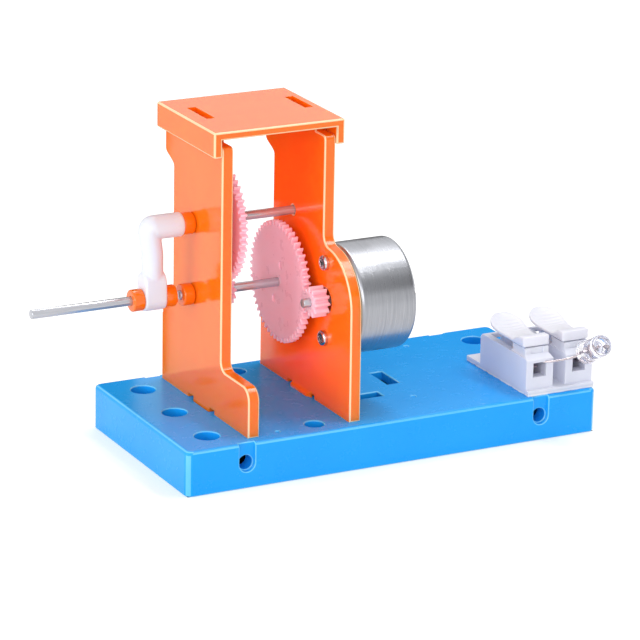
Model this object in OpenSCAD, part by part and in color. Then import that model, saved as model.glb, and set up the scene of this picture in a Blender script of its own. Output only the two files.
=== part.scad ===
// Hand crank generator for the classroom. A crank turns a two-stage spur gear
// train in an upright frame, the train turns a small direct-current motor, and
// the motor is to light a light-emitting diode held in a two-pole push terminal.
// The origin is the centre of the base's underside. +X runs towards the terminal,
// +Y to the back and +Z up. At rest the crank hangs straight down.

/* [Base] */
// Length of the base
base_l = 100; // [92:1:140]
// Width of the base
base_w = 48.5; // [46:0.5:70]
// Height of the base
base_h = 10; // [9:0.5:16]
// Thickness of the base's side walls
base_wall = 2; // [1.6:0.1:2.6]
// Thickness of the base's top
base_skin = 2.2; // [1.6:0.1:3]
// Radius of the base's upright corners
base_corner_r = 1.5; // [1:0.1:2]
// Radius of the base's top edge
base_edge_r = 0.8; // [0.3:0.1:0.9]
// Thickness of the ribs under the base
rib_t = 1.6; // [1:0.1:2.4]
// Diameter of the peg holes at the ends
peg_hole_d = 5.5; // [4:0.1:6.5]
// Distance between neighbouring peg holes
peg_pitch = 16.2; // [14:0.1:17]
// Distance of the peg holes from the base's ends
peg_inset = 8.4; // [6.5:0.1:9]
// Diameter of the two small holes between the side plates
small_hole_d = 4.3; // [3:0.1:5]
// Distance of the small holes from the base's long faces
small_hole_inset = 5.25; // [4.5:0.05:6]
// Diameter of the axle holes
axle_hole_d = 3.2; // [2:0.1:3.5]
// Distance of the axle holes from the base's ends
axle_inset = 14.1; // [13:0.1:15]
// Height of the axle holes above the underside
axle_z = 5.5; // [4:0.1:6]
// Depth of the axle recesses in the long faces
recess_depth = 1; // [0.6:0.1:1.2]

/* [Side plates] */
// Thickness of the side plates
plate_t = 2.6; // [2.2:0.1:3.2]
// Clear distance between the side plates
plate_gap = 21.6; // [20:0.1:26]
// Distance of the left plate's outer face from the base's left end
plate_inset = 15.5; // [14:0.1:17]
// Height of the plates' shoulders above the crank shaft
shoulder_rise = 20.2; // [19:0.1:26]
// Width of the plates' feet
foot_w = 43.2; // [42:0.1:45]
// Width of the plates' necks
neck_w = 24.1; // [22:0.1:25]
// Distance of the necks' middle from the base's middle
neck_y = 4.25; // [4:0.05:5]
// Width of the tab under each plate
tab_w = 7.9; // [6:0.1:9]
// Depth of the tab under each plate
tab_depth = 3.2; // [2.4:0.1:4]
// Clearance of the tabs in their slots
slot_fit = 0.2; // [0.1:0.05:0.3]

/* [Cap] */
// Length of the cap from front to back
cap_w = 28.8; // [28:0.1:32]
// Thickness of the cap's top
cap_t = 1.75; // [1.4:0.05:2.6]
// Thickness of the cap's skirts
cap_wall = 1.9; // [1.4:0.1:2.6]
// Height of the cap's skirts with the top
cap_h = 5.55; // [4.5:0.05:7]
// Clearance of the skirts on the plates
cap_fit = 0.1; // [0.05:0.05:0.2]
// Width of the cap's slots
cap_slot_w = 2; // [1.4:0.1:2.4]
// Length of the cap's slots
cap_slot_l = 9.8; // [8:0.1:11]

/* [Gears] */
// Gear module, the pitch diameter for each tooth
gear_module = 0.5; // [0.48:0.01:0.5]
// Teeth of each wheel
wheel_teeth = 53; // [50:1:54]
// Teeth of each pinion
pinion_teeth = 11; // [10:1:12]
// Thickness of the wheels' toothed rims
wheel_t = 1.6; // [1.2:0.1:2]
// Diameter of the wheels' hubs
hub_d = 4.6; // [3.6:0.1:6]
// Thinning of each tooth for backlash
tooth_thinning = 0.07; // [0.05:0.01:0.1]
// Length of the pinion on the idler shaft
idler_pinion_l = 6.5; // [5:0.1:7.5]
// Length of the pinion on the motor shaft
motor_pinion_l = 3.5; // [3:0.1:4.5]

/* [Shafts] */
// Diameter of the steel shafts
shaft_d = 2; // [1.6:0.1:2.4]
// Height of the idler shaft above the base
idler_h = 24; // [23:0.1:25]
// Distance of the shafts from the base's middle
shaft_y = 6.7; // [6:0.1:7.5]
// Radial clearance of a shaft that turns in its hole
running_fit = 0.05; // [0.03:0.01:0.09]
// Outside diameter of the collars
collar_d = 4.8; // [4:0.1:5.4]
// Length of the collars
collar_l = 2.6; // [2:0.1:2.8]

/* [Crank] */
// Distance of the handle rod from the crank shaft
crank_r = 15.8; // [13:0.1:18]
// Distance of the crank arm's middle from the left plate
arm_gap = 9.4; // [9.2:0.1:12]
// Diameter of the crank arm
arm_d = 4.7; // [4:0.1:5]
// Diameter of the crank arm's socket and boss
socket_d = 5.3; // [4.6:0.1:6]
// Length of the handle rod
handle_l = 33.8; // [26:0.1:50]

/* [Motor] */
// Diameter of the motor's can
motor_d = 24.4; // [23:0.1:25]
// Length of the motor's can
motor_l = 13.4; // [12:0.1:16]
// Thickness of the motor's can
can_t = 0.9; // [0.7:0.1:1.1]
// Distance of the motor's screws from its axis
screw_r = 8.5; // [7.5:0.1:9]
// Length of shaft in front of the motor's can
motor_shaft_out = 8.2; // [7.8:0.1:10]

/* [Terminal] */
// Width of one terminal housing
housing_w = 6.8; // [6.4:0.1:7.2]
// Distance between the two terminal housings
housing_gap = 3.2; // [2.4:0.1:4]
// Length of the terminal housings
housing_l = 20.4; // [20:0.1:23]
// Height of the terminal housings above their floor
housing_h = 7.1; // [7:0.1:9]
// Thickness of the terminal's floor
terminal_floor_t = 0.8; // [0.6:0.1:1.4]
// Length of the terminal's floor behind the housings
floor_tail = 6; // [4:0.5:8]
// Thickness of the foam tape under the terminal
tape_t = 0.5; // [0.3:0.1:1]
// Width of the square wire holes
wire_hole_w = 3.3; // [2.8:0.1:3.5]

/* [Light-emitting diode] */
// Diameter of the lens
led_d = 4.8; // [3:0.1:5.4]
// Length of the lens with its flange
led_l = 8.2; // [6:0.1:9.5]
// Upward tilt of the diode in degrees
led_tilt = 29; // [20:1:36]
// Sideways turn of the diode in degrees
led_turn = -3; // [-10:1:10]

/* [Hidden] */
$fn = 64;

// Overrun of every cut, and the gap between pieces pressed together
over = 0.5;
press_gap = 0.01;
// Axial clearance beside a piece that turns
run_gap = 0.15;
// Steps in an arc, in a blended curve and in the base's top edge
arc_n = 8;
curve_n = 8;
edge_n = 3;
hull_fn = 32;

// Faces of the two plates, from left to right
left_out = -base_l / 2 + plate_inset;
left_in = left_out + plate_t;
right_in = left_in + plate_gap;
right_out = right_in + plate_t;

// Axes of the shafts
centre_distance = gear_module * (wheel_teeth + pinion_teeth) / 2;
idler_z = base_h + idler_h;
crank_z = idler_z + centre_distance;
motor_y = shaft_y - centre_distance;
motor_z = idler_z;

// Lines and plane shapes
function arc(c, r, a0, a1, n = arc_n) =
    [for (i = [0:n]) let (a = a0 + (a1 - a0) * i / n) c + r * [cos(a), sin(a)]];
function s_curve(p, q, n = curve_n) =
    [for (i = [0:n]) [p.x + (q.x - p.x) * (1 - cos(180 * i / n)) / 2, p.y + (q.y - p.y) * i / n]];

// A drawing of Y and Z, given thickness t along X from x
module sheet_x(x, t) translate([x, 0, 0]) rotate([90, 0, 90]) linear_extrude(height = t) children();
// A round bar or hole along X
module rod_x(x, l, d) translate([x, 0, 0]) rotate([0, 90, 0]) cylinder(d = d, h = l);
module at_crank() translate([0, shaft_y, crank_z]) children();
module at_idler() translate([0, shaft_y, idler_z]) children();
module at_motor() translate([0, motor_y, motor_z]) children();
module at_handle() translate([0, shaft_y, crank_z - crank_r]) children();
module box(low, high) translate(low) cube(high - low);

// Base: an open-bottomed moulding with bosses, ribs, peg holes and slots
peg_x = base_l / 2 - peg_inset;
boss_t = 1.3;
small_hole_x = left_in + plate_gap * 2 / 3;
small_hole_y = base_w / 2 - small_hole_inset;
axle_x = base_l / 2 - axle_inset;
recess_margin = 0.25;
recess_w = axle_hole_d + 2 * recess_margin;
axle_block_w = 7;
axle_block_t = 2.5;
cross_rib_x = base_l / 4;
free_slot_x = 10.5;
free_slot_y = 1.3;
long_slot_x = 0.5;
long_slot_y = -7.6;
slot_w = plate_t + 2 * slot_fit;
slot_l = tab_w + 2 * slot_fit;
slot_depth = tab_depth + slot_fit;
tab_y = 1.5;
dimple_d = 1;
dimple_depth = 0.25;
dimple_places = [[left_in + plate_t * 2, -base_w / 2 + peg_inset / 2],
                 [free_slot_x, -base_w / 4], [peg_x - peg_pitch, base_w / 2 - peg_inset * 2 / 3]];

module base_shell() hull()
    for (sx = [-1, 1], sy = [-1, 1], i = [0:edge_n]) let (a = 90 * i / edge_n)
        translate([sx * (base_l / 2 - base_corner_r), sy * (base_w / 2 - base_corner_r), 0])
            cylinder(r = base_corner_r - base_edge_r * (1 - cos(a)),
                     h = base_h - base_edge_r * (1 - sin(a)), $fn = hull_fn);

module base_slot(x, y, w, l) translate([x - w / 2, y - l / 2, base_h - slot_depth])
    cube([w, l, slot_depth + over]);

module peg_posts(d, z0, z1) for (sx = [-1, 1], k = [-1:1])
    translate([sx * peg_x, k * peg_pitch, z0]) cylinder(d = d, h = z1 - z0);

module small_posts(d, z0, z1) for (sy = [-1, 1])
    translate([small_hole_x, sy * small_hole_y, z0]) cylinder(d = d, h = z1 - z0);

module base() color([0.10, 0.60, 0.93]) difference() {
    union() {
        difference() {
            base_shell();
            translate([-base_l / 2 + base_wall, -base_w / 2 + base_wall, -over])
                cube([base_l - 2 * base_wall, base_w - 2 * base_wall, base_h - base_skin + over]);
        }
        peg_posts(peg_hole_d + 2 * boss_t, 0, base_h - base_skin / 2);
        small_posts(small_hole_d + 2 * boss_t, 0, base_h - base_skin / 2);
        for (x = [-cross_rib_x, 0, cross_rib_x])
            box([x - rib_t / 2, -base_w / 2 + base_wall / 2, 0],
                [x + rib_t / 2, base_w / 2 - base_wall / 2, base_h - base_skin / 2]);
        box([-base_l / 2 + base_wall / 2, -rib_t / 2, 0],
            [base_l / 2 - base_wall / 2, rib_t / 2, base_h - base_skin / 2]);
        for (sx = [-1, 1], sy = [-1, 1])
            translate([sx * axle_x - axle_block_w / 2,
                       sy * (base_w / 2 - base_wall / 2) - (sy > 0 ? axle_block_t + base_wall / 2 : 0), 0])
                cube([axle_block_w, axle_block_t + base_wall / 2, base_h - base_skin / 2]);
    }
    peg_posts(peg_hole_d, -over, base_h + over);
    small_posts(small_hole_d, -over, base_h + over);
    base_slot(left_out + plate_t / 2, tab_y, slot_w, slot_l);
    base_slot(right_out - plate_t / 2, tab_y, slot_w, slot_l);
    base_slot(free_slot_x, free_slot_y, slot_w, slot_l);
    base_slot(long_slot_x, long_slot_y, slot_l, slot_w);
    for (sx = [-1, 1]) translate([sx * axle_x, -base_w / 2 - over, axle_z])
        rotate([-90, 0, 0]) cylinder(d = axle_hole_d, h = base_w + 2 * over);
    for (sx = [-1, 1], sy = [-1, 1]) translate([sx * axle_x, sy * base_w / 2, axle_z]) {
        rotate([sy * 90, 0, 0]) translate([0, 0, -over]) cylinder(d = recess_w, h = recess_depth + over);
        translate([-recess_w / 2, sy > 0 ? -recess_depth : -over, 0])
            cube([recess_w, recess_depth + over, base_h]);
    }
    for (p = dimple_places) translate([p.x, p.y, base_h - dimple_depth])
        cylinder(d = dimple_d, h = dimple_depth + over);
}

// Side plates: foot with a tab, neck, head with a crown that carries the cap
crown_h = 1.7;
shoulder_z = crank_z + shoulder_rise;
neck_front = neck_y - neck_w / 2;
neck_back = neck_y + neck_w / 2;
head_out = 4.2;
head_back = neck_back + head_out;
head_h = 10;
head_curve_h = 2.9;
foot_step_h = 17;
foot_curve_h = 6.7;
notch_w = 2.6;
notch_h = 0.9;
head_round_r = 1;
toe_h = 10.9;
toe_r = 3;
heel_r = 2.2;
crown_inset = 4.5;
bulge_inset = 0.2;
bulge_r = motor_d / 2 - bulge_inset;
bulge_fillet_r = 2.5;
ledge_l = 8.8;
ledge_back = 3.5;
ledge_h = 1.6;
ledge_out = 0.8;
ledge_taper = 1.5;

function foot_line() = let (y0 = tab_y - tab_w / 2, y1 = tab_y + tab_w / 2) [
    [-foot_w / 2, base_h], [y0 - notch_w, base_h], [y0 - notch_w, base_h + notch_h],
    [y0, base_h + notch_h], [y0, base_h - tab_depth], [y1, base_h - tab_depth],
    [y1, base_h + notch_h], [y1 + notch_w, base_h + notch_h], [y1 + notch_w, base_h],
    [foot_w / 2, base_h]];
function back_line() = concat(
    s_curve([foot_w / 2, base_h + foot_step_h], [neck_back, base_h + foot_step_h + foot_curve_h]),
    s_curve([neck_back, shoulder_z - head_h], [head_back, shoulder_z - head_h + head_curve_h]),
    arc([head_back - head_round_r, shoulder_z - head_round_r], head_round_r, 0, 90),
    [[neck_back - crown_inset, shoulder_z], [neck_back - crown_inset, shoulder_z + crown_h],
     [neck_front + crown_inset, shoulder_z + crown_h], [neck_front + crown_inset, shoulder_z]],
    arc([neck_front + head_round_r, shoulder_z - head_round_r], head_round_r, 90, 180));
function toe_line() = concat(
    arc([neck_front - heel_r, base_h + toe_h + heel_r], heel_r, 0, -90),
    arc([-foot_w / 2 + toe_r, base_h + toe_h - toe_r], toe_r, 90, 180));
function bulge_line() =
    let (fy = neck_front - bulge_fillet_r,
         fz = motor_z + sqrt(pow(bulge_r + bulge_fillet_r, 2) - pow(fy - motor_y, 2)),
         a = atan2(fz - motor_z, fy - motor_y))
    concat(arc([fy, fz], bulge_fillet_r, 0, a - 180), arc([motor_y, motor_z], bulge_r, a, 180, arc_n * 2));

// A wedge on a plate's inner face that rests on the base beside the tab, tapered in front
module plate_ledge(x, side) translate([x, tab_y + ledge_back, base_h]) difference() {
    rotate([90, 0, 0]) linear_extrude(height = ledge_l)
        polygon([[-side * press_gap, 0], [side * ledge_out, 0], [side * ledge_out, ledge_h / 3],
                 [-side * press_gap, ledge_h]]);
    translate([0, -ledge_l, -over]) linear_extrude(height = ledge_h + 2 * over)
        polygon([[-side * ledge_out / 2, -ledge_taper / 2], [side * ledge_out * 3 / 2, ledge_taper * 3 / 2],
                 [side * ledge_out * 3 / 2, -ledge_taper / 2]]);
}

module left_plate() color([1.0, 0.50, 0.16]) difference() {
    union() {
        sheet_x(left_out, plate_t) polygon(concat(foot_line(), back_line(), toe_line()));
        plate_ledge(left_in, 1);
    }
    at_crank() rod_x(left_out - over, plate_t + 2 * over, shaft_d + 2 * running_fit);
    at_idler() rod_x(left_out - over, plate_t + 2 * over, shaft_d + 2 * running_fit);
}

module right_plate() color([1.0, 0.48, 0.16]) difference() {
    union() {
        sheet_x(right_in, plate_t) polygon(concat(foot_line(), back_line(), bulge_line()));
        plate_ledge(right_in, -1);
    }
    at_crank() rod_x(right_in - over, plate_t + 2 * over, shaft_d + 2 * running_fit);
    at_idler() rod_x(right_in - over, plate_t + 2 * over, shaft_d + 2 * running_fit);
    at_motor() rod_x(right_in - over, plate_t + 2 * over, bush_d + 2 * screw_fit);
    at_motor() for (s = [-1, 1]) translate([0, 0, s * screw_r])
        rod_x(right_in - over, plate_t + 2 * over, screw_d + 2 * screw_fit);
}

// Cap: a channel pressed over the plates' heads, with two spare slots
cap_z = shoulder_z + crown_h;
cap_y = neck_y + (head_back - neck_back) / 2;
cap_left = left_out - cap_fit - cap_wall;
cap_right = right_out + cap_fit + cap_wall;
left_slot_gap = 3.6;
right_slot_gap = 1.8;
slot_back_gap = 7.6;

module cap() color([1.0, 0.50, 0.16]) difference() {
    box([cap_left, cap_y - cap_w / 2, cap_z + cap_t - cap_h], [cap_right, cap_y + cap_w / 2, cap_z + cap_t]);
    box([cap_left + cap_wall, cap_y - cap_w / 2 - over, cap_z + cap_t - cap_h - over],
        [cap_right - cap_wall, cap_y + cap_w / 2 + over, cap_z]);
    for (x = [cap_left + left_slot_gap, cap_right - right_slot_gap - cap_slot_w])
        translate([x, cap_y + cap_w / 2 - slot_back_gap - cap_slot_l, cap_z - over])
            cube([cap_slot_w, cap_slot_l, cap_t + 2 * over]);
}

// Spur gears with involute teeth. The profile shift makes the pinions' teeth
// fuller and the wheels' shallower by as much, so the centre distance is plain.
pressure_angle = 20;
profile_shift = 0.3;
addendum_share = 1;
dedendum_share = 1.25;
flank_n = 3;
turn_deg = 360;
rad = 180 / PI;

function inv(a) = tan(a) * rad - a;
function tooth_angle(r, rb, half) = half - inv(acos(min(1, rb / r)));
function gear_points(z, shift, first) =
    let (r = gear_module * z / 2, rb = r * cos(pressure_angle),
         ra = r + gear_module * (addendum_share + shift),
         rf = r - gear_module * (dedendum_share - shift),
         s = gear_module * (PI / 2 + 2 * shift * tan(pressure_angle)) - tooth_thinning,
         half = s / (2 * r) * rad + inv(pressure_angle),
         r0 = max(rb, rf),
         flank = [for (i = [0:flank_n - 1]) let (q = r0 + (ra - r0) * i / (flank_n - 1))
             [q, tooth_angle(q, rb, half)]],
         foot = rf < rb ? [[rf, flank[0][1]]] : [],
         up = concat(foot, flank))
    [for (k = [0:z - 1]) let (c = first + turn_deg * k / z)
        each concat([for (i = [0:len(up) - 1]) up[i][0] * [cos(c - up[i][1]), sin(c - up[i][1])]],
                    [for (i = [len(up) - 1:-1:0]) up[i][0] * [cos(c + up[i][1]), sin(c + up[i][1])]])];

module wheel(x, t, first) sheet_x(x, t) polygon(gear_points(wheel_teeth, -profile_shift, first));
module pinion(x, l, first) sheet_x(x, l) polygon(gear_points(pinion_teeth, profile_shift, first));

wheel_dimple_d = 1.8;
wheel_dimple_r = 4.4;
wheel_dimple_depth = 0.3;
module wheel_dimples(x, turn) for (a = [0, 180]) rotate([turn + a, 0, 0])
    translate([0, 0, wheel_dimple_r]) rod_x(x - over, wheel_dimple_depth + over, wheel_dimple_d);
dimple_turn = 20;

// Collar: a short tube with broken edges, pressed on a shaft
collar_edge = 0.25;
module collar(x) translate([x, 0, 0]) rotate([0, 90, 0]) rotate_extrude()
    polygon([[shaft_d / 2 + press_gap, 0], [collar_d / 2 - collar_edge, 0], [collar_d / 2, collar_edge],
             [collar_d / 2, collar_l - collar_edge], [collar_d / 2 - collar_edge, collar_l],
             [shaft_d / 2 + press_gap, collar_l]]);

// Shaft with broken edges at both ends
shaft_edge = 0.2;
module shaft(x, l) translate([x, 0, 0]) rotate([0, 90, 0]) rotate_extrude()
    polygon([[0, 0], [shaft_d / 2 - shaft_edge, 0], [shaft_d / 2, shaft_edge],
             [shaft_d / 2, l - shaft_edge], [shaft_d / 2 - shaft_edge, l], [0, l]]);

// Crank: shaft, arm, collar and the first wheel turn together
arm_x = left_out - arm_gap;
collar_x = left_out - run_gap - collar_l;
shaft_stub = 0.4;
socket_wall = 1.6;
elbow_x = arm_x - arm_d / 6;
crank_shaft_x = elbow_x - socket_d / 2 + socket_wall;
boss_rise = 4.4;
first_hub_l = 2.5;
first_wheel_x = left_in + run_gap + first_hub_l;

module crank_shaft() color([0.72, 0.74, 0.77])
    at_crank() shaft(crank_shaft_x, right_out + shaft_stub - crank_shaft_x);

module crank_arm() color([0.95, 0.94, 0.98]) difference() {
    union() {
        at_crank() rod_x(elbow_x, collar_x - elbow_x, socket_d);
        at_crank() translate([elbow_x, 0, 0]) sphere(d = socket_d);
        translate([arm_x, shaft_y, crank_z - crank_r + boss_rise])
            cylinder(d = arm_d, h = crank_r - boss_rise);
        hull() for (z = [0, boss_rise]) at_handle() translate([0, 0, z])
            rod_x(arm_x - arm_d / 2, arm_d, socket_d - z / boss_rise * (socket_d - arm_d));
        hull() {
            at_handle() translate([0, 0, boss_rise]) rod_x(arm_x - arm_d / 2, arm_d, arm_d);
            translate([arm_x, shaft_y, crank_z - crank_r + boss_rise])
                cylinder(d = arm_d, h = arm_d * 2 / 3, $fn = hull_fn);
        }
    }
    at_crank() rod_x(crank_shaft_x, collar_x - crank_shaft_x + over, shaft_d + 2 * press_gap);
    at_handle() rod_x(arm_x - arm_d, arm_d * 2, shaft_d + 2 * running_fit);
}

module crank_collar() color([1.0, 0.50, 0.12]) at_crank() collar(collar_x);

module crank_gear() color([0.97, 0.90, 0.92]) at_crank() difference() {
    union() {
        wheel(first_wheel_x, wheel_t, -90);
        rod_x(left_in + run_gap, first_hub_l, hub_d);
    }
    rod_x(left_in, first_hub_l + wheel_t + run_gap + over, shaft_d + 2 * press_gap);
    wheel_dimples(first_wheel_x + wheel_t - wheel_dimple_depth + over, dimple_turn);
}

// Handle rod, held in the arm's boss by two collars
inner_collar_x = arm_x + arm_d / 2 + run_gap;
handle_x = inner_collar_x + collar_l + shaft_stub - handle_l;
module handle_rod() color([0.72, 0.74, 0.77]) at_handle() shaft(handle_x, handle_l);
module handle_collar_outer() color([1.0, 0.58, 0.10])
    at_handle() collar(arm_x - arm_d / 2 - run_gap - collar_l);
module handle_collar_inner() color([1.0, 0.50, 0.10]) at_handle() collar(inner_collar_x);

// Idler: pinion, second wheel and collar pressed on one shaft
idler_x = collar_x - shaft_stub;
second_hub_l = 1.8;
second_hub_gap = 0.2;
second_wheel_x = right_in - second_hub_gap - second_hub_l - wheel_t;
module idler_shaft() color([0.72, 0.74, 0.77])
    at_idler() shaft(idler_x, right_out + shaft_stub - idler_x);
module idler_collar() color([1.0, 0.45, 0.10]) at_idler() collar(collar_x);
module idler_pinion() color([0.97, 0.90, 0.92]) at_idler() difference() {
    pinion(left_in + run_gap, idler_pinion_l, 90 + 180 / pinion_teeth);
    rod_x(left_in, idler_pinion_l + over, shaft_d + 2 * press_gap);
}
module idler_gear() color([0.97, 0.85, 0.88]) at_idler() difference() {
    union() {
        wheel(second_wheel_x, wheel_t, 180);
        rod_x(second_wheel_x + wheel_t, second_hub_l, hub_d);
    }
    rod_x(second_wheel_x - over, wheel_t + second_hub_l + 2 * over, shaft_d + 2 * press_gap);
    wheel_dimples(second_wheel_x, dimple_turn);
}

// Motor, screwed to the right plate's outer face
bush_d = 5;
bush_out = 1.2;
bush_in = 1.8;
screw_d = 2;
screw_fit = 0.2;
can_front_edge = 0.8;
can_rear_edge = 0.9;
can_lip = 1.8;
can_x = right_out;
can_in_r = motor_d / 2 - can_t;
end_cap_t = 1.5;
end_cap_gap = 0.1;
end_cap_x = can_x + motor_l - can_t - end_cap_gap - end_cap_t;
rim_notch_w = 1.4;
rim_notch_depth = 0.6;
rim_notch_turn = -18;

// The can's wall, drawn as radius against distance from its front
function can_profile() = concat(
    [[bush_d / 2 + press_gap, 0]],
    arc([motor_d / 2 - can_front_edge, can_front_edge], can_front_edge, -90, 0, curve_n),
    arc([motor_d / 2 - can_rear_edge, motor_l - can_rear_edge], can_rear_edge, 0, 90, curve_n),
    [[motor_d / 2 - can_lip, motor_l], [motor_d / 2 - can_lip, motor_l - can_t],
     [can_in_r, motor_l - can_t], [can_in_r, can_t], [bush_d / 2 + press_gap, can_t]]);

module motor_can() color([0.78, 0.79, 0.81]) at_motor() difference() {
    translate([can_x, 0, 0]) rotate([0, 90, 0]) rotate_extrude() polygon(can_profile());
    for (s = [-1, 1]) translate([0, 0, s * screw_r])
        rod_x(can_x - over, can_t + 2 * over, screw_d + 2 * press_gap);
    for (s = [-1, 1]) rotate([rim_notch_turn, 0, 0])
        translate([can_x + motor_l - rim_notch_depth, s * motor_d / 2 - can_lip / 2, -rim_notch_w / 2])
            cube([rim_notch_depth + over, can_lip, rim_notch_w]);
}

rear_bush_d = 4;
rear_bush_l = 2;
rear_boss_d = 7;
rear_boss_out = 1.5;
tab_metal_t = 0.5;
tab_metal_w = 2.2;
tab_metal_y = 6.5;
tab_metal_z = 3;
tab_metal_out = 3;
tab_metal_in = 0.5;
module motor_tab(gap) for (s = [-1, 1]) translate([0, tab_metal_y, s * tab_metal_z])
    box([end_cap_x - tab_metal_in - gap, -tab_metal_t / 2 - gap, -tab_metal_w / 2 - gap],
        [end_cap_x + end_cap_t + tab_metal_out + gap, tab_metal_t / 2 + gap, tab_metal_w / 2 + gap]);

module motor_end_cap() color([0.93, 0.93, 0.90]) at_motor() difference() {
    union() {
        rod_x(end_cap_x, end_cap_t, 2 * can_in_r - 2 * end_cap_gap);
        rod_x(end_cap_x, end_cap_t + rear_boss_out, rear_boss_d);
    }
    rod_x(end_cap_x - over, rear_bush_l + over, rear_bush_d + 2 * press_gap);
    rod_x(end_cap_x - over, rear_bush_l + 2 * over, shaft_d + 2 * over);
    motor_tab(press_gap);
}

module motor_front_bearing() color([0.80, 0.62, 0.36]) at_motor() difference() {
    rod_x(can_x - bush_out, bush_out + bush_in, bush_d);
    rod_x(can_x - bush_out - over, bush_out + bush_in + 2 * over, shaft_d + 2 * running_fit);
}
module motor_rear_bearing() color([0.80, 0.62, 0.36]) at_motor() difference() {
    rod_x(end_cap_x, rear_bush_l, rear_bush_d);
    rod_x(end_cap_x - over, rear_bush_l + 2 * over, shaft_d + 2 * running_fit);
}

// Rotor: shaft, pinion, three-pole core, coils and commutator turn together
core_gap = 0.4;
coil_out = 0.8;
commutator_l = 2.1;
core_x = can_x + bush_in + core_gap + coil_out;
core_l = end_cap_x - core_x - commutator_l - coil_out - 2 * core_gap;
core_r = 8.4;
pole_w = 2.2;
hub_core_r = 3;
shoe_t = 1.2;
shoe_deg = 50;
poles = 3;
air_gap = 0.5;
magnet_deg = 65;
commutator_d = 3.8;
brush_t = 0.35;
brush_w = 1.2;
brush_gap = 0.05;
rotor_end = end_cap_x + rear_bush_l;
pinion_gap = 0.4;

module motor_shaft() color([0.72, 0.74, 0.77])
    at_motor() shaft(can_x - motor_shaft_out, rotor_end - can_x + motor_shaft_out);
module motor_pinion() color([0.97, 0.85, 0.88]) at_motor() difference() {
    pinion(right_in - pinion_gap - motor_pinion_l, motor_pinion_l, 180 / pinion_teeth);
    rod_x(right_in - pinion_gap - motor_pinion_l - over, motor_pinion_l + 2 * over, shaft_d + 2 * press_gap);
}

function sector(r0, r1, a0, a1) = concat(arc([0, 0], r1, a0, a1), arc([0, 0], r0, a1, a0));
module armature_core() color([0.45, 0.46, 0.48]) at_motor() difference() {
    sheet_x(core_x, core_l) union() {
        circle(r = hub_core_r);
        for (k = [0:poles - 1]) rotate(90 + turn_deg * k / poles) {
            translate([0, -pole_w / 2]) square([core_r - shoe_t / 2, pole_w]);
            polygon(sector(core_r - shoe_t, core_r, -shoe_deg, shoe_deg));
        }
    }
    rod_x(core_x - over, core_l + 2 * over, shaft_d + 2 * press_gap);
}
coil_gap = 0.1;
coil_w = 5.6;
module armature_windings() color([0.72, 0.38, 0.16]) at_motor()
    for (k = [0:poles - 1]) rotate([90 + turn_deg * k / poles, 0, 0]) difference() {
        box([core_x - coil_out, hub_core_r + coil_gap, -coil_w / 2],
            [core_x + core_l + coil_out, core_r - shoe_t * 3 / 2, coil_w / 2]);
        box([core_x - coil_gap, 0, -pole_w / 2 - coil_gap],
            [core_x + core_l + coil_gap, core_r, pole_w / 2 + coil_gap]);
    }
module commutator() color([0.78, 0.52, 0.28]) at_motor() difference() {
    rod_x(end_cap_x - core_gap - commutator_l, commutator_l, commutator_d);
    rod_x(end_cap_x - commutator_l - core_gap - over, commutator_l + 2 * over, shaft_d + 2 * press_gap);
}
module brushes() color([0.80, 0.62, 0.36]) at_motor() for (a = [0, 180]) rotate([a, 0, 0])
    translate([end_cap_x - commutator_l, commutator_d / 2 + brush_gap, -brush_w / 2])
        cube([commutator_l, brush_t, brush_w]);
module motor_magnets() color([0.32, 0.32, 0.34]) at_motor() for (s = [0, 180])
    sheet_x(core_x - coil_out / 2, core_l + coil_out)
        polygon(sector(core_r + air_gap, can_in_r - press_gap, s - magnet_deg, s + magnet_deg));
module motor_terminals() color([0.80, 0.72, 0.48]) at_motor() motor_tab(0);

// Motor screws: pan heads with a cross recess on the plate's inner face
head_d = 3.4;
head_t = 1.1;
head_round_t = 0.4;
cross_w = 0.5;
cross_l = 1.9;
cross_depth = 0.6;
screw_past = 0.3;
module motor_screws() color([0.80, 0.81, 0.83]) at_motor() for (s = [-1, 1]) translate([0, 0, s * screw_r])
    difference() {
        union() {
            translate([right_in - head_t, 0, 0]) rotate([0, 90, 0]) rotate_extrude()
                polygon([[0, 0], [head_d / 2 - head_round_t, 0],
                         [head_d / 2 - head_round_t / 3, head_round_t / 3],
                         [head_d / 2, head_round_t], [head_d / 2, head_t], [0, head_t]]);
            rod_x(right_in - head_t / 2, head_t / 2 + plate_t + can_t + screw_past, screw_d);
        }
        for (a = [0, 90]) rotate([a + dimple_turn, 0, 0])
            box([right_in - head_t - over, -cross_l / 2, -cross_w / 2],
                [right_in - head_t + cross_depth, cross_l / 2, cross_w / 2]);
    }

// Push terminal: two housings on one floor, stuck to the base by foam tape
terminal_inset = 0.2;
terminal_front_gap = 1;
floor_front = 1;
terminal_right = base_l / 2 - terminal_inset;
terminal_left = terminal_right - 2 * housing_w - housing_gap;
tape_z = base_h + tape_t;
floor_z = tape_z + terminal_floor_t;
housing_z = floor_z + housing_h;
floor_y = -base_w / 2 + terminal_front_gap;
housing_y = floor_y + floor_front;
housing_back = housing_y + housing_l;
left_x = terminal_left + housing_w / 2;
right_x = terminal_right - housing_w / 2;
well_w = 3.6;
well_front_t = 2.6;
well_back_t = 1.4;
well_floor_t = 0.9;
wire_hole_rise = 2.7;
housing_edge = 0.7;
pivot_d = 1.5;
pivot_fit = 0.05;
pivot_in = 0.9;
pivot_back = 8.2;
pivot_deep = 1.4;
// The raised cheeks that carry the lever's lip, with a shallow window in front
cheek_front = 1.5;
cheek_back = 7;
cheek_h = 1.9;
cheek_inset = 0.45;
cheek_foot = 0.5;
shoulder_drop = 0.4;
window_w = 3.2;
window_depth = 0.4;

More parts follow.
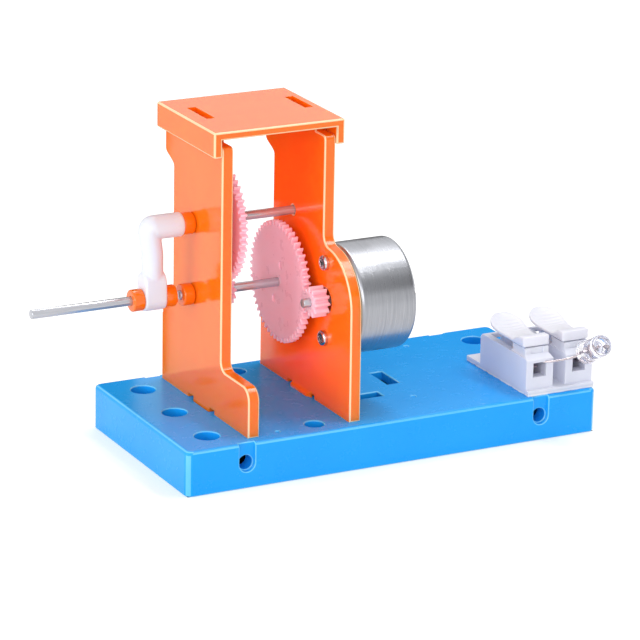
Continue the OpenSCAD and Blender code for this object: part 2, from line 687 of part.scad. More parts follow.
// Places a piece on the top front edge of a housing
module at_housing(x) translate([x, housing_y, housing_z]) children();
module cheek_box(inset, front, back, z0, z1)
    box([-housing_w / 2 + inset, front, z0], [housing_w / 2 - inset, back, z1]);
module housing() difference() {
    union() {
        sheet_x(-housing_w / 2, housing_w) polygon([
            [0, -housing_h - press_gap], [housing_l, -housing_h - press_gap],
            [housing_l, -housing_edge], [housing_l - housing_edge, 0],
            [2 * housing_edge, 0], [0, -shoulder_drop]]);
        hull() {
            cheek_box(0, 0, cheek_back + cheek_foot, -shoulder_drop - press_gap, -shoulder_drop);
            cheek_box(cheek_inset, cheek_front, cheek_back, cheek_foot - press_gap, cheek_foot);
        }
        cheek_box(cheek_inset, cheek_front, cheek_back, 0, cheek_h);
    }
    box([-window_w / 2, cheek_front - over, cheek_foot],
        [window_w / 2, cheek_front + window_depth, cheek_h + over]);
    box([-well_w / 2, well_front_t, well_floor_t - housing_h],
        [well_w / 2, housing_l - well_back_t, cheek_h + over]);
    box([-wire_hole_w / 2, -over, wire_hole_rise - housing_h],
        [wire_hole_w / 2, well_front_t + over, wire_hole_rise + wire_hole_w - housing_h]);
    box([-wire_hole_w / 2, housing_l - well_back_t - over, wire_hole_rise - housing_h],
        [wire_hole_w / 2, housing_l + over, wire_hole_rise + wire_hole_w - housing_h]);
    translate([0, pivot_back, -pivot_deep])
        rod_x(-well_w / 2 - pivot_in, well_w + 2 * pivot_in, pivot_d + 2 * pivot_fit);
}

module terminal_body() color([0.94, 0.92, 0.97]) union() {
    box([terminal_left, floor_y, tape_z], [terminal_right, housing_back + floor_tail, floor_z]);
    at_housing(left_x) housing();
    at_housing(right_x) housing();
}
module terminal_tape() color([0.97, 0.97, 0.97])
    box([terminal_left, floor_y, base_h], [terminal_right, housing_back + floor_tail, tape_z]);

// Lever: a lip over the cheeks, a low saddle and a thumb spoon that rises to the
// back. Its points are distances behind the housing's front and above its top.
lever_front = 1.9;
lever_edge = 0.3;
lever_z = 2.1;
lip_top = 4.4;
lip_l = 3.2;
lip_inset = 0.1;
saddle_top = 2.85;
saddle_front = 7.5;
saddle_back = 8.8;
spoon_y = 14.6;
spoon_out = 0.55;
spoon_l = 18.2;
spoon_top = 5.4;
spoon_t = 0.9;
spoon_w = housing_w + 2 * spoon_out;
web_front = 3.4;
tongue_w = 3.2;
tongue_d = 2.8;
lever_side_gap = 0.2;

// A line that leaves p level and bends up to q
function rise(p, q, n = curve_n) = let (v = q - p, r = (v.x * v.x + v.y * v.y) / (2 * v.y))
    arc([p.x, p.y + r], r, -90, asin(v.x / r) - 90, n);
function spoon_under() = rise([saddle_back, lever_z], [spoon_l, spoon_top - spoon_t]);
function lever_profile() = concat(
    [[lever_front, lever_z], [lever_front, lip_top - lever_edge], [lever_front + lever_edge, lip_top]],
    [for (p = s_curve([lip_top, lip_l], [saddle_top, saddle_front])) [p.y, p.x]],
    rise([saddle_back, saddle_top], [spoon_l, spoon_top]),
    [for (i = [curve_n:-1:0]) spoon_under()[i]]);
module lever_plan() union() {
    translate([lip_inset - housing_w / 2, 0]) square([housing_w - 2 * lip_inset, spoon_y]);
    translate([0, spoon_y]) scale([spoon_w / 2 / (spoon_l - spoon_y), 1]) circle(r = spoon_l - spoon_y);
}
module lever(x) at_housing(x) union() {
    intersection() {
        sheet_x(-spoon_w / 2, spoon_w) polygon(lever_profile());
        linear_extrude(height = 2 * spoon_top) lever_plan();
    }
    box([-tongue_w / 2, web_front, lever_edge], [tongue_w / 2, pivot_back + pivot_d, lever_z + lever_edge]);
    translate([0, pivot_back, -pivot_deep]) rod_x(-tongue_w / 2, tongue_w, tongue_d);
    box([-tongue_w / 2, pivot_back - tongue_d / 2, -pivot_deep],
        [tongue_w / 2, pivot_back + tongue_d / 2, 2 * lever_edge]);
    translate([0, pivot_back, -pivot_deep])
        rod_x(-well_w / 2 - pivot_in + lever_side_gap, well_w + 2 * pivot_in - 2 * lever_side_gap, pivot_d);
}
module terminal_lever_left() color([0.96, 0.95, 0.99]) lever(left_x);
module terminal_lever_right() color([0.96, 0.95, 0.99]) lever(right_x);

// Clamp: a bent strip on the well's floor whose tongue bears up under the wire
clamp_w = 2.8;
clamp_t = 0.4;
clamp_gap = 0.3;
clamp_l = 7;
clamp_h = 1.6;
clamp_tip = 2.8;
module clamp(x) let (y0 = housing_y + well_front_t + clamp_gap, z0 = floor_z + well_floor_t)
    sheet_x(x - clamp_w / 2, clamp_w) polygon([
        [y0, z0], [y0 + clamp_l, z0], [y0 + clamp_l, z0 + clamp_h + clamp_t],
        [y0 + clamp_t, z0 + clamp_tip + clamp_t], [y0 + clamp_t, z0 + clamp_tip],
        [y0 + clamp_l - clamp_t, z0 + clamp_h], [y0 + clamp_l - clamp_t, z0 + clamp_t], [y0, z0 + clamp_t]]);
module terminal_clamp_left() color([0.75, 0.72, 0.72]) clamp(left_x);
module terminal_clamp_right() color([0.75, 0.72, 0.72]) clamp(right_x);

// Light-emitting diode: a clear lens on two bent leads
lead_d = 0.5;
lead_pitch = 2.54;
led_lip = 0.25;
led_flange_t = 1;
led_cup_depth = 0.9;
led_cup_rim = 0.7;
led_edge = 0.4;
led_out = 2.3;
led_rise = 0.5;
led_shift = 0.3;
lead_in = 4;
lead_end_y = housing_y + well_front_t + over;
led_base = [right_x + led_shift, housing_y - led_out, housing_z + led_rise];
led_axis = [sin(led_turn) * cos(led_tilt), -cos(led_turn) * cos(led_tilt), sin(led_tilt)];
led_side = [cos(led_turn), sin(led_turn), 0];
hole_z = floor_z + wire_hole_rise + wire_hole_w / 2;

module at_led() translate(led_base) rotate([0, 0, led_turn]) rotate([90 - led_tilt, 0, 0]) children();

module led_lens() color([0.90, 0.92, 1.0, 0.5]) at_led() difference() {
    rotate_extrude() polygon([[0, 0], [led_d / 2 + led_lip, 0], [led_d / 2 + led_lip, led_flange_t],
        [led_d / 2, led_flange_t], [led_d / 2, led_l - led_edge], [led_d / 2 - led_edge, led_l],
        [led_d / 2 - led_cup_rim, led_l], [0, led_l - led_cup_depth]]);
    for (s = [-1, 1]) translate([s * lead_pitch / 2, 0, -over])
        cylinder(d = lead_d + 2 * press_gap, h = lead_in + over + press_gap);
}

// A round wire through a list of points
module wire(points, d) union() {
    for (i = [0:len(points) - 2]) let (v = points[i + 1] - points[i], l = norm(v))
        translate(points[i]) rotate([0, acos(v.z / l), atan2(v.y, v.x)]) cylinder(d = d, h = l);
    for (i = [1:len(points) - 2]) translate(points[i]) sphere(d = d + 2 * press_gap);
}
lead_clear = 0.6;
lead_bend = 1.15;
lead_step = 0.35;
function lead_root(s) = led_base + s * lead_pitch / 2 * led_side;
module led_anode_lead() color([0.80, 0.78, 0.78]) let (p = lead_root(1)) wire([
    p + led_axis * lead_in, p - led_axis * lead_clear,
    [right_x, housing_y - lead_clear, hole_z + lead_d],
    [right_x, lead_end_y, hole_z]], lead_d);
module led_cathode_lead() color([0.80, 0.78, 0.78])
    let (p = lead_root(-1), z = hole_z + wire_hole_w / 2) wire([
    p + led_axis * lead_in, p - led_axis * lead_clear,
    [p.x - lead_bend, housing_y - lead_bend, z + lead_step],
    [left_x + lead_bend, housing_y - lead_clear, z - lead_step],
    [left_x, lead_end_y, z - 2 * lead_step]], lead_d);

base();
left_plate();
right_plate();
cap();
crank_shaft();
crank_arm();
crank_collar();
crank_gear();
handle_rod();
handle_collar_outer();
handle_collar_inner();
idler_shaft();
idler_collar();
idler_pinion();
idler_gear();
motor_can();
motor_end_cap();
motor_front_bearing();
motor_rear_bearing();
motor_magnets();
motor_shaft();
motor_pinion();
armature_core();
armature_windings();
commutator();
brushes();
motor_terminals();
motor_screws();
terminal_body();
terminal_tape();
terminal_lever_left();
terminal_lever_right();
terminal_clamp_left();
terminal_clamp_right();
led_lens();
led_anode_lead();
led_cathode_lead();
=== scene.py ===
import math
import bmesh
import bpy
import numpy as np
from mathutils import Matrix, Vector


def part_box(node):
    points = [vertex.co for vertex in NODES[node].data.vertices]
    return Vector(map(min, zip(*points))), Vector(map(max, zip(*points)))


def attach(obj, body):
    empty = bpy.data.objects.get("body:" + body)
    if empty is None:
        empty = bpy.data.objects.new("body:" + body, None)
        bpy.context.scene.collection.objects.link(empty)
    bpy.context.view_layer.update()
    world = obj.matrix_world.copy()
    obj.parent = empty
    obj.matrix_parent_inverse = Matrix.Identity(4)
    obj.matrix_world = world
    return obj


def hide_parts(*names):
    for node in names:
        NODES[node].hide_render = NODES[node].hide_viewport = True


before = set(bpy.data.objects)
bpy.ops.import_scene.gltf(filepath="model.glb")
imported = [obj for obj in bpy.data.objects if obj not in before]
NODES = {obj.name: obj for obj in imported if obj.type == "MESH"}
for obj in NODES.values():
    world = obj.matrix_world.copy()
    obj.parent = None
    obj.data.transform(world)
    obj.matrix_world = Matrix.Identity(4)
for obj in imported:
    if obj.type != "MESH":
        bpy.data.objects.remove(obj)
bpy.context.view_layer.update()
MM = 0.001

# Base. A blue injection-moulded plate of ABS with holes for pegs, slots for the
# uprights and ribs below. Its rims are softened by the mould's radii.


def smooth(piece, angle):
    """Smooth shading that stops at edges sharper than the angle, in degrees."""
    faces = piece.data.polygons
    faces.foreach_set("use_smooth", np.ones(len(faces), dtype=bool))
    piece.data.set_sharp_from_angle(angle=math.radians(angle))


def placed(name, mesh):
    """An object at the origin that shows the mesh."""
    piece = bpy.data.objects.new(name, mesh)
    bpy.context.scene.collection.objects.link(piece)
    return piece


def rounded(name, node, edge, steps=3, sharp=30, cuts=(), still=None, clamp=False):
    """A merged copy of a CAD node whose outer edges are rounded by edge, in mm.

    Its flat faces are joined from triangles into whole outlines first. A face with holes
    is parted through their middles, by cuts of (axis, place in mm), so that it stays plain.
    Only edges that stand out by more than the angle sharp, in degrees, are rounded. Those
    with an end inside the box still = (low, high), in mm, keep their corner.
    """
    same_point, on_plane, flat = 2e-6, 1e-6, math.radians(0.5)
    mesh = NODES[node].data.copy()
    mesh.name = name
    work = bmesh.new()
    work.from_mesh(mesh)
    bmesh.ops.remove_doubles(work, verts=work.verts, dist=same_point)
    for axis, place in cuts:
        square = [float(axis == i) for i in range(3)]
        parted = bmesh.ops.bisect_plane(
            work, geom=work.verts[:] + work.edges[:] + work.faces[:], dist=on_plane,
            plane_co=[v * place * MM for v in square], plane_no=square)
        for part in parted["geom_cut"]:
            if isinstance(part, bmesh.types.BMEdge):
                part.seam = True
    bmesh.ops.dissolve_limit(work, angle_limit=flat, verts=work.verts, edges=work.edges,
                             delimit={"NORMAL", "SEAM"})
    weight = work.edges.layers.float.new("bevel_weight_edge")
    for line in work.edges:
        ends = np.array([v.co for v in line.verts]) / MM
        kept = still and np.any(np.all((ends > still[0]) & (ends < still[1]), axis=1))
        if line.is_convex and line.calc_face_angle(0) > math.radians(sharp) and not kept:
            line[weight] = 1.0
    work.to_mesh(mesh)
    work.free()
    mesh.materials.clear()
    piece = placed(name, mesh)
    smooth(piece, sharp)
    bevel = piece.modifiers.new("rim", "BEVEL")
    bevel.width = edge * MM
    bevel.segments = steps
    bevel.limit_method = "WEIGHT"
    bevel.use_clamp_overlap = clamp
    bevel.miter_outer = "MITER_ARC"
    even = piece.modifiers.new("flat faces stay flat", "WEIGHTED_NORMAL")
    even.weight = 100
    even.keep_sharp = True
    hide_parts(node)
    return piece


def linear(rgb):
    """A colour of 0 to 255 as the eye sees it, turned into the shader's linear one.

    It is divided by a slope in the dark toe of the curve and raised to a power above it.
    """
    toe, slope, offset, power = 0.04045, 12.92, 0.055, 2.4
    c = np.asarray(rgb, dtype=float) / 255
    return tuple(np.where(c <= toe, c / slope, ((c + offset) / (1 + offset)) ** power)) + (1.0,)


def shader(name, rgb, rough, **sockets):
    """A material with one Principled shader. Sockets are named with _ for a space."""
    material = bpy.data.materials.new(name)
    material.use_nodes = True
    tree = material.node_tree
    main = tree.nodes["Principled BSDF"]
    main.inputs["Base Color"].default_value = linear(rgb)
    main.inputs["Roughness"].default_value = rough
    for key, value in sockets.items():
        main.inputs[key.replace("_", " ")].default_value = value
    return material, tree, main


def pattern(tree, stretch=(1, 1, 1), **values):
    """Noise on Object coordinates in mm, stretched along the axes."""
    place = tree.nodes.new("ShaderNodeTexCoord")
    mapping = tree.nodes.new("ShaderNodeMapping")
    mapping.inputs["Scale"].default_value = [s / MM for s in stretch]
    noise = tree.nodes.new("ShaderNodeTexNoise")
    tree.links.new(place.outputs["Object"], mapping.inputs["Vector"])
    tree.links.new(mapping.outputs["Vector"], noise.inputs["Vector"])
    for key, value in values.items():
        noise.inputs[key].default_value = value
    return noise.outputs["Fac"]


def ramp(tree, source, low, high):
    """The source's usual reach carried to a range of values or of colours."""
    usual_low, usual_high = 0.3, 0.7
    spread = tree.nodes.new("ShaderNodeMapRange")
    spread.inputs["From Min"].default_value = usual_low
    spread.inputs["From Max"].default_value = usual_high
    tree.links.new(source, spread.inputs["Value"])
    if np.ndim(low) == 0:
        spread.inputs["To Min"].default_value = low
        spread.inputs["To Max"].default_value = high
        return spread.outputs["Result"]
    mix = tree.nodes.new("ShaderNodeMix")
    mix.data_type = "RGBA"
    mix.inputs["A"].default_value = linear(low)
    mix.inputs["B"].default_value = linear(high)
    tree.links.new(spread.outputs["Result"], mix.inputs["Factor"])
    return mix.outputs["Result"]


def relief(tree, main, source, height):
    """A fine relief of the given height, in mm, from a texture's value."""
    bump = tree.nodes.new("ShaderNodeBump")
    bump.inputs["Distance"].default_value = height * MM
    bump.inputs["Strength"].default_value = 1.0
    tree.links.new(source, bump.inputs["Height"])
    tree.links.new(bump.outputs["Normal"], main.inputs["Normal"])


def plastic(name, rgb, other, rough, swing=0.06, grain=0.8, height=0.002, **sockets):
    """Moulded plastic: faint flow marks in the colour, a fine skin and an uneven gloss."""
    flow_grid, gloss_grid = (0.05, 0.09, 0.05), (0.3, 0.3, 0.3)
    material, tree, main = shader(name, rgb, rough, **sockets)
    flow = pattern(tree, flow_grid, Scale=1.0, Detail=3.0, Distortion=0.6)
    tree.links.new(ramp(tree, flow, rgb, other), main.inputs["Base Color"])
    gloss = pattern(tree, gloss_grid, Scale=1.0, Detail=4.0, Roughness=0.6)
    tree.links.new(ramp(tree, gloss, rough - swing, rough + swing), main.inputs["Roughness"])
    relief(tree, main, pattern(tree, Scale=grain, Detail=2.0, Roughness=0.5), height)
    return material


def dress(piece, material, body, rim=None):
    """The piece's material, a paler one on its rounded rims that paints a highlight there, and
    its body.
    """
    piece.data.materials.clear()
    piece.data.materials.append(material)
    if rim:
        piece.data.materials.append(rim)
        piece.modifiers["rim"].material = 1
    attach(piece, body)


HOLES_X = (-41.6, -35.9, -26.7, -17.5, 10.5, 17.5, 25.4, 35.9, 41.6)
CORNER, UPRIGHT, SLANTING = 1.5, 0.1, 0.45
base_blue = plastic("blue base plastic", (28, 170, 255), (22, 165, 252), 0.26, swing=0.03,
                    grain=0.4, height=0.001, Specular_IOR_Level=0.25)
# A paler copy of the blue goes on the rounded rims and, below, on the upright corners: a painted
# highlight.
base_highlight_blue = plastic("blue base painted highlight", (104, 204, 255), (92, 196, 255), 0.25, swing=0.05)
base = rounded("base_moulding", "base", 0.22, steps=2,
               cuts=[(0, x) for x in HOLES_X] + [(1, 0)])
dress(base, base_blue, "frame", base_highlight_blue)
# Faces on the slanting part of each rounded upright corner take the paler blue: a painted
# highlight band.
low, high = (Vector(v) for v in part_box("base"))
half_l, half_w = (v / 2 - CORNER * MM for v in (high - low).xy)
for face in base.data.polygons:
    across, along, up = (abs(v) for v in face.normal)
    at_corner = abs(face.center.x) > half_l and abs(face.center.y) > half_w
    if at_corner and up < UPRIGHT and min(across, along) > SLANTING:
        face.material_index = 1

# Side plates. Two orange plates cut to the same foot and neck, pressed by a tab
# into the base. The glossy moulded faces mirror what stands beside them.
CRANK_Z, IDLER_Z, SCREW_PITCH = 50.0, 34.0, 17.0
# A cream copy of the orange, laid by the bevel on the rounded edges of the plates and the cap: a
# painted highlight.
plate_highlight_cream = plastic("orange plate painted highlight", (255, 222, 176), (255, 214, 164), 0.2, swing=0.03)
plate_orange = plastic("orange plate plastic", (255, 122, 16), (255, 117, 12), 0.12, swing=0.03,
                       grain=1.2, Specular_IOR_Level=0.5, Subsurface_Weight=0.5,
                       Subsurface_Radius=(1.0, 0.12, 0.05), Subsurface_Scale=0.004)
bores_z = (IDLER_Z - SCREW_PITCH / 2, IDLER_Z, IDLER_Z + SCREW_PITCH / 2, CRANK_Z)
foot_box = ((-40, -19, 6), (0, 25, 12.6))
for node in ("left_plate", "right_plate"):
    plate = rounded(node + "_moulding", node, 0.3, sharp=20, cuts=[(2, z) for z in bores_z],
                    still=foot_box)
    dress(plate, plate_orange, "frame", plate_highlight_cream)

# Cap. An orange channel pressed down over the heads of the two plates, with two
# spare slots through its top. The slots' edges are left as the mould cuts them.
slots_box = ((-35.5, -6, 66), (-6.7, 18.8, 75))
cap = rounded("cap_moulding", "cap", 0.36, still=slots_box)
# Its rounded edges take the cream painted highlight too.
dress(cap, plate_orange, "frame", plate_highlight_cream)

# Shafts. Two-millimetre steel rods, ground round, that turn in the plates' bores.
# The free one is the handle. Drawing leaves fine lines along them.


def object_of(name, verts, faces):
    """A mesh object at the origin from an array of points and a list of faces."""
    mesh = bpy.data.meshes.new(name)
    mesh.from_pydata(np.asarray(verts).tolist(), [], [list(f) for f in faces])
    mesh.update()
    return placed(name, mesh)


def brushed(name, rgb, other, rough, lines, height=0.004, **sockets):
    """Worked metal: lines along one axis in its colour, gloss and relief."""
    glossier, duller = 0.05, 0.07
    material, tree, main = shader(name, rgb, rough, **{"Metallic": 1.0, **sockets})
    line = pattern(tree, lines, Scale=1.0, Detail=4.0, Roughness=0.65)
    tree.links.new(ramp(tree, line, rgb, other), main.inputs["Base Color"])
    tree.links.new(ramp(tree, line, rough - glossier, rough + duller), main.inputs["Roughness"])
    relief(tree, main, line, height)
    return material


def ring_faces(rows, cols):
    """Faces with four corners between each ring of a grid of points and the next one."""
    i, j = np.meshgrid(np.arange(rows - 1), np.arange(cols), indexing="ij")
    k = (j + 1) % cols
    corners = [i * cols + j, i * cols + k, (i + 1) * cols + k, (i + 1) * cols + j]
    return np.stack(corners, axis=-1).reshape(-1, 4).tolist()


def skin_of(name, grid):
    """Faces over a grid of points whose rows are rings. Ends of no radius close to a point."""
    piece = object_of(name, grid.reshape(-1, 3), ring_faces(*grid.shape[:2]))
    work = bmesh.new()
    work.from_mesh(piece.data)
    bmesh.ops.remove_doubles(work, verts=work.verts, dist=1e-7)
    bmesh.ops.recalc_face_normals(work, faces=work.faces)
    work.to_mesh(piece.data)
    work.free()
    smooth(piece, 40)
    return piece


def turned(name, profile, origin, axis=(1, 0, 0), side=(0, 1, 0), count=72):
    """A solid turned round an axis: each profile pair is (distance along it, radius) in mm."""
    profile, axis, side = (np.asarray(v, dtype=float) for v in (profile, axis, side))
    turn = np.linspace(0, 2 * np.pi, count, endpoint=False)[:, None]
    ring = side * np.cos(turn) + np.cross(axis, side) * np.sin(turn)
    grid = np.asarray(origin) + profile[:, :1, None] * axis + profile[:, 1:, None] * ring
    return skin_of(name, grid * MM)


def round_rims(low, high, radius, edge, steps):
    """Profile pairs of a rod's two rims, each a quarter circle of radius edge, in mm."""
    a = np.linspace(0, np.pi / 2, steps)
    along, out = edge * (1 - np.cos(a)), radius - edge + edge * np.sin(a)
    return np.concatenate([np.stack([low + along, out], axis=-1),
                           np.stack([high - along[::-1], out[::-1]], axis=-1)])


def rod(name, node):
    """A shaft in the place of its node, with broken edges turned at both ends."""
    edge = 0.2
    (x0, y0, z0), (x1, y1, z1) = (np.array(v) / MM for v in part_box(node))
    rims = round_rims(x0, x1, (z1 - z0) / 2, edge, 5)
    profile = np.concatenate([[[x0, 0]], rims, [[x1, 0]]])
    piece = turned(name, profile, (0, (y0 + y1) / 2, (z0 + z1) / 2))
    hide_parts(node)
    return piece


shaft_steel = brushed("ground shaft steel", (196, 198, 204), (176, 179, 186), 0.16,
                      (0.15, 4, 4), height=0.001, Metallic=0.6)
for node, body in (("crank_shaft", "crank"), ("handle_rod", "handle"),
                   ("idler_shaft", "idler"), ("motor_shaft", "rotor")):
    dress(rod(node + "_bar", node), shaft_steel, body)

# Collars. Short orange tubes that grip a shaft by a press fit. Two hold the crank
# and idler shafts at the left plate, and two keep the handle rod in its boss.
SHAFT_R, PRESS_FIT = 1.0, 0.01


def collar(name, node):
    """A tube in the place of its node, its outer rims round and its bore's rims slanting."""
    edge, slant, bore = 0.3, 0.12, SHAFT_R + PRESS_FIT
    (x0, y0, z0), (x1, y1, z1) = (np.array(v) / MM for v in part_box(node))
    rims = round_rims(x0, x1, (z1 - z0) / 2, edge, 6)
    profile = np.concatenate([[[x0 + slant, bore], [x0, bore + slant]], rims,
                              [[x1, bore + slant], [x1 - slant, bore], [x0 + slant, bore]]])
    piece = turned(name, profile, (0, (y0 + y1) / 2, (z0 + z1) / 2), count=96)
    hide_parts(node)
    return piece


collar_orange = plastic("orange collar plastic", (255, 120, 10), (252, 112, 8), 0.08,
                        swing=0.02, Specular_IOR_Level=0.6)
for node, body in (("crank_collar", "crank"), ("idler_collar", "idler"),
                   ("handle_collar_outer", "handle"), ("handle_collar_inner", "handle")):
    dress(collar(node + "_tube", node), collar_orange, body)

# Crank arm. One moulding of milky nylon: a round arm that bends into the socket
# on the crank shaft, and a stout boss across its foot for the handle rod.
ARM_X, ELBOW_X, CRANK_Y, CRANK_R, RUN_FIT = -43.9, -44.68, 6.7, 15.8, 0.05
ARM_R, SOCKET_R, SOCKET_END, SOCKET_FLOOR = 2.35, 2.65, -37.27, -45.73
BOSS_Z, BOSS_HALF, BOSS_EDGE = CRANK_Z - CRANK_R, 2.5, 0.4
HEAD_W, HEAD_H, HEAD_RISE = 2.45, 2.1, 3.9


def tube(name, path, radii, up, count=48):
    """Rings of the given radii carried along a path, square to it, with both ends closed."""
    path = np.asarray(path, dtype=float)
    along = np.gradient(path, axis=0)
    along /= np.linalg.norm(along, axis=1, keepdims=True)
    side = np.cross(along, up)
    side /= np.linalg.norm(side, axis=1, keepdims=True)
    turn = np.linspace(0, 2 * np.pi, count, endpoint=False)[None, :, None]
    ring = side[:, None] * np.cos(turn) + np.cross(along, side)[:, None] * np.sin(turn)
    grid = path[:, None] + ring * np.broadcast_to(radii, len(path))[:, None, None]
    ends = np.broadcast_to(path[[0, -1], None], (2, count, 3))
    return skin_of(name, np.concatenate([ends[:1], grid, ends[1:]]) * MM)


def arm_path():
    """The arm's middle line and its radii, in mm.

    The line starts at the socket's rounded mouth, runs level to the elbow, turns down on
    a quarter circle, leans over to the arm's own line and ends inside the boss.
    """
    bend, edge, lean_l, above_boss = 0.8, 0.35, 5, 1.5
    a = np.linspace(0, np.pi / 2, 12)
    level = np.linspace(SOCKET_END - edge, ELBOW_X + bend, 12)[1:-1]
    down = np.linspace(CRANK_Z - bend, BOSS_Z + above_boss, 24)[1:]
    lean = np.clip((CRANK_Z - bend - down) / lean_l, 0, 1)
    x = np.concatenate([SOCKET_END - edge * (1 - np.cos(a)), level,
                        ELBOW_X + bend - bend * np.sin(a), ELBOW_X + (ARM_X - ELBOW_X) * lean])
    z = np.concatenate([np.full(len(a) + len(level), CRANK_Z),
                        CRANK_Z - bend + bend * np.cos(a), down])
    radii = np.concatenate([SOCKET_R - edge + edge * np.sin(a), np.full(len(level), SOCKET_R),
                            SOCKET_R + (ARM_R - SOCKET_R) * (a / a[-1]),
                            np.full(len(down), ARM_R)])
    return np.column_stack([x, np.full(len(x), CRANK_Y), z]), radii


def half_oval(first, z, wide, high):
    """Half an oval of Y and Z round the crank's line at height z, from the first angle."""
    turn = np.linspace(first, first + np.pi, 24)
    return np.stack([CRANK_Y + wide * np.cos(turn), z + high * np.sin(turn)], axis=-1)


def joined(name, parts):
    """The parts' meshes as one object, in the order given."""
    whole = bmesh.new()
    for part in parts:
        whole.from_mesh(part.data)
        bpy.data.objects.remove(part)
    mesh = bpy.data.meshes.new(name)
    whole.to_mesh(mesh)
    whole.free()
    return placed(name, mesh)


def welded(name, parts):
    """The parts' skins become one through small cells, and are eased by smoothing."""
    cell, passes = 0.15, 5
    piece = joined(name, parts)
    cells = piece.modifiers.new("weld", "REMESH")
    cells.mode = "VOXEL"
    cells.voxel_size = cell * MM
    cells.use_smooth_shade = True
    ease = piece.modifiers.new("ease", "SMOOTH")
    ease.factor = 0.5
    ease.iterations = passes
    return piece


def turned_cut(piece, line, radius, x0, x1):
    """A round bore along X at line = (y, z) is taken out of the piece."""
    profile = [[x0, 0], [x0, radius], [x1, radius], [x1, 0]]
    cutter = turned("cutter", profile, (0, *line), count=48)
    cutter.hide_render = cutter.hide_viewport = True
    cut = piece.modifiers.new("bore", "BOOLEAN")
    cut.operation, cut.object, cut.solver = "DIFFERENCE", cutter, "EXACT"
    bpy.context.view_layer.update()
    graph = bpy.context.evaluated_depsgraph_get()
    mesh = bpy.data.meshes.new_from_object(piece.evaluated_get(graph))
    piece.modifiers.clear()
    piece.data = mesh
    bpy.data.objects.remove(cutter)


def slab(name, outline, z0, z1, edge):
    """An outline raised from z0 to z1, in mm, with its two rims drawn in along the normals."""
    outline = np.asarray(outline, dtype=float)
    along = np.roll(outline, -1, axis=0) - np.roll(outline, 1, axis=0)
    along /= np.linalg.norm(along, axis=1, keepdims=True)
    inward = np.stack([-along[:, 1], along[:, 0]], axis=-1)
    a = np.linspace(0, np.pi / 2, 4)
    inset = np.concatenate([edge * (1 - np.sin(a)), edge * (1 - np.sin(a[::-1]))])
    height = np.concatenate([z0 + edge * (1 - np.cos(a)), z1 - edge * (1 - np.cos(a[::-1]))])
    rings = [np.column_stack([outline + inward * k, np.full(len(outline), h)])
             for k, h in zip(inset, height)]
    n, last = len(outline), (len(rings) - 1) * len(outline)
    faces = ring_faces(len(rings), n) + [list(range(n))[::-1], list(range(last, last + n))]
    piece = object_of(name, np.concatenate(rings) * MM, faces)
    smooth(piece, 50)
    return piece


def moved(piece, origin, x, y, z):
    """The piece's own three directions become the given ones, from an origin in mm."""
    points = np.empty(len(piece.data.vertices) * 3)
    piece.data.vertices.foreach_get("co", points)
    turned_to = np.array([x, y, z], dtype=float)
    points = points.reshape(-1, 3) @ turned_to + np.asarray(origin) * MM
    piece.data.vertices.foreach_set("co", points.ravel())
    return piece


def blade(name, outline, x, half, edge=0.15):
    """A slab on its edge: the outline of Y and Z, centred on x."""
    flat = slab(name, outline, -half, half, edge)
    return moved(flat, (x, 0, 0), (0, 1, 0), (0, 0, 1), (1, 0, 0))


stem = tube("stem", *arm_path(), (0, 1, 0))
boss = blade("boss", np.concatenate([half_oval(-np.pi, BOSS_Z, SOCKET_R, SOCKET_R),
                                     half_oval(0, BOSS_Z + HEAD_RISE, HEAD_W, HEAD_H)]),
             ARM_X, BOSS_HALF, BOSS_EDGE)
arm = welded("crank_arm_moulding", [stem, boss])
turned_cut(arm, (CRANK_Y, BOSS_Z), SHAFT_R + RUN_FIT, -50, -38)
turned_cut(arm, (CRANK_Y, CRANK_Z), SHAFT_R + PRESS_FIT, SOCKET_FLOOR, -36)
smooth(arm, 50)
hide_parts("crank_arm")
arm_nylon = plastic("milky arm nylon", (232, 236, 250), (226, 230, 249), 0.34, swing=0.05,
                    Subsurface_Weight=0.5, Subsurface_Radius=(0.8, 0.8, 1.0),
                    Subsurface_Scale=0.002)
dress(arm, arm_nylon, "crank")

# Gears. Two wheels of 53 teeth with a hub, and two pinions of 11 teeth, moulded in a clear white
# nylon that light shines into, and pressed on their shafts. The pink in its colour is painted
# light, bounced from the orange plates.
gear_nylon = plastic("clear white gear nylon", (255, 200, 214), (253, 192, 207), 0.3,
                     swing=0.05, Subsurface_Weight=0.6, Subsurface_Radius=(1.0, 0.55, 0.6),
                     Subsurface_Scale=0.003)
for node, body, cuts in (("crank_gear", "crank", [(1, CRANK_Y), (2, CRANK_Z)]),
                         ("idler_gear", "idler", [(1, CRANK_Y), (2, IDLER_Z)]),
                         ("idler_pinion", "idler", ()), ("motor_pinion", "rotor", ())):
    gear = rounded(node + "_moulding", node, 0.09, steps=1, sharp=25, cuts=cuts)
    dress(gear, gear_nylon, body)

# Motor. A drawn steel can with a rolled rear lip, brushed round its axis, closed by
# a plastic cap with two brass tabs and held on the right plate by two screws. Bronze
# bushes in both ends carry its shaft, and two brass brushes press on it.
can_steel = brushed("brushed can steel", (176, 177, 182), (150, 152, 158), 0.3,
                    (6, 0.12, 0.12), height=0.006, Anisotropic=0.3)
dress(rounded("motor_can_drawn", "motor_can", 0.12, steps=2), can_steel, "frame")
end_cap_cream = plastic("cream end cap plastic", (238, 236, 226), (230, 228, 216), 0.42)
dress(rounded("motor_end_cap_moulding", "motor_end_cap", 0.15, steps=2), end_cap_cream,
      "frame")
screw_steel = brushed("plated screw steel", (214, 212, 214), (190, 188, 192), 0.14,
                      (2, 2, 2), height=0.003)
dress(rounded("motor_screws_turned", "motor_screws", 0.07, steps=2, sharp=24), screw_steel,
      "frame")
brass = brushed("pale brass", (226, 204, 150), (210, 186, 130), 0.24, (3, 0.6, 0.6))
for node in ("brushes", "motor_terminals"):
    dress(rounded(node + "_cut", node, 0.05, steps=1), brass, "frame")
